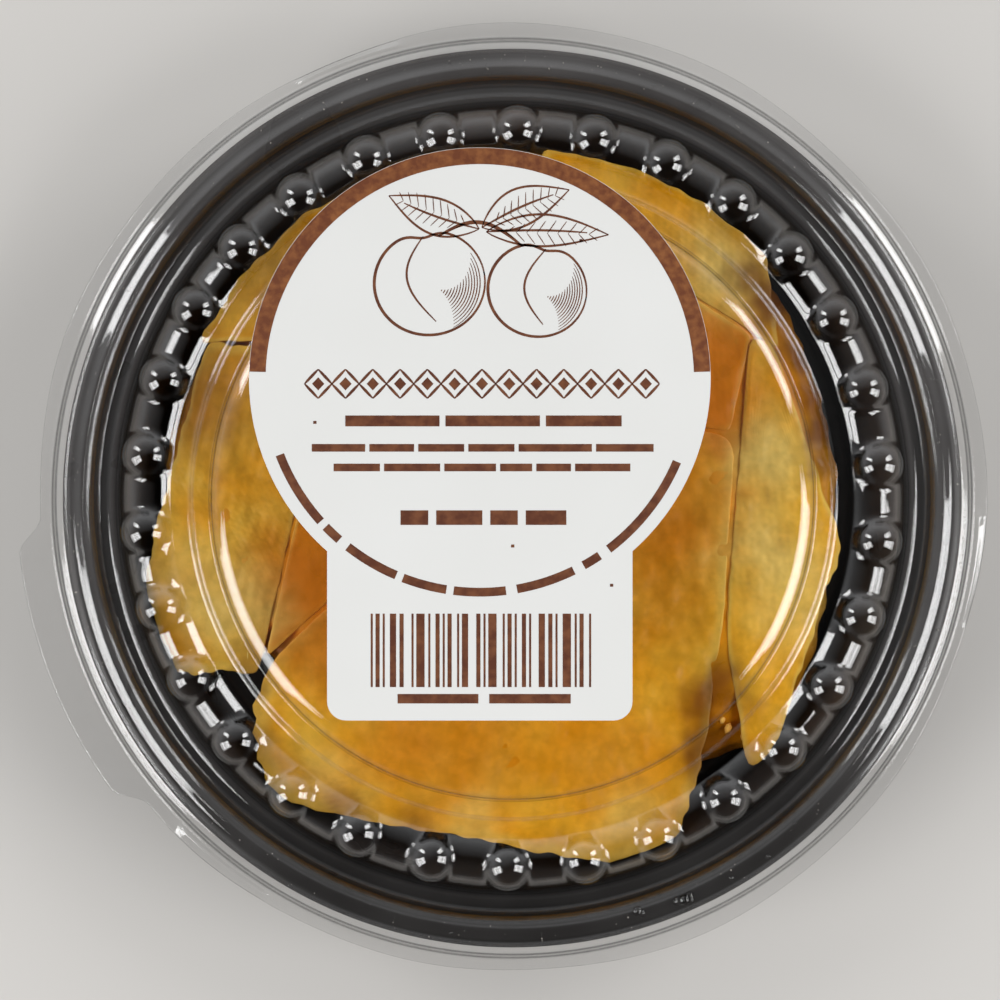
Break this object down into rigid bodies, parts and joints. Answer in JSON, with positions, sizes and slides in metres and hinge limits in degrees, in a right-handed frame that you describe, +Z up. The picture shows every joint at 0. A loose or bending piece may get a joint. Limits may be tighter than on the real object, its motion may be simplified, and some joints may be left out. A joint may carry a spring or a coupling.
{
  "type": "peach cobbler pack",
  "caption": "Round black tray of peach cobbler under a clear push-on lid with a beaded shoulder, a pull tab and a paper label: a sealed single-serve sweet pie.",
  "frame": {"origin": "centre of the tray's flat foot, on the surface that the pack rests on", "axes": "+Z up along the tray's axis; +X to the right and +Y to the top of the label as it is read from above"},
  "size_m": [0.1371, 0.1344, 0.0365],
  "materials": {
    "tray_black": "glossy black thermoformed plastic",
    "lid_clear": "clear glossy thermoformed sheet",
    "label_paper": "matte white paper with brown print",
    "filling_syrup": "moist dark amber peach filling",
    "crust_golden": "soft golden crust, slightly moist",
    "peach_amber": "moist amber peach"
  },
  "bodies": {
    "root": {"tray": "tray_black", "lid": "lid_clear", "label": "label_paper", "filling": "filling_syrup", "crust_left": "crust_golden", "crust_upper_left": "crust_golden", "crust_bottom": "crust_golden", "crust_right": "crust_golden", "crust_upper_right": "crust_golden", "peach_right": "peach_amber", "peach_left": "peach_amber"}
  },
  "joints": []
}
